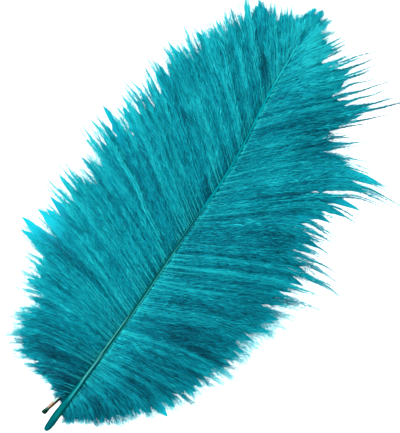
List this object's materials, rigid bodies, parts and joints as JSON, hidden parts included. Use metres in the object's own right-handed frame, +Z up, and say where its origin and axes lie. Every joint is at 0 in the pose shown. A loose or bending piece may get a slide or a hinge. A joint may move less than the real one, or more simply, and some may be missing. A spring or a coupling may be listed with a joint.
{
  "type": "ostrich feather",
  "caption": "Dyed ostrich plume lying flat, with a bare rounded quill, a slightly bowed rachis and two wide loose vanes of long fluffy barbs.",
  "frame": {"origin": "middle of the feather's underside, on the surface it lies on", "axes": "+Y along the feather from the quill to the plume's tip, +Z up from the surface, +X to the right vane"},
  "size_m": [0.19, 0.2986, 0.0084],
  "materials": {
    "dyed_keratin_shaft": "dyed keratin, satin, glossier on the bare quill",
    "dyed_barbs": "dyed keratin barbs and barbules, soft and fibrous",
    "pale_keratin_quill": "pale keratin, satin, taking the dye only at its ends"
  },
  "bodies": {
    "root": {"shaft": "dyed_keratin_shaft", "left_vane": "dyed_barbs", "right_vane": "dyed_barbs", "side_quill": "pale_keratin_quill"}
  },
  "joints": []
}
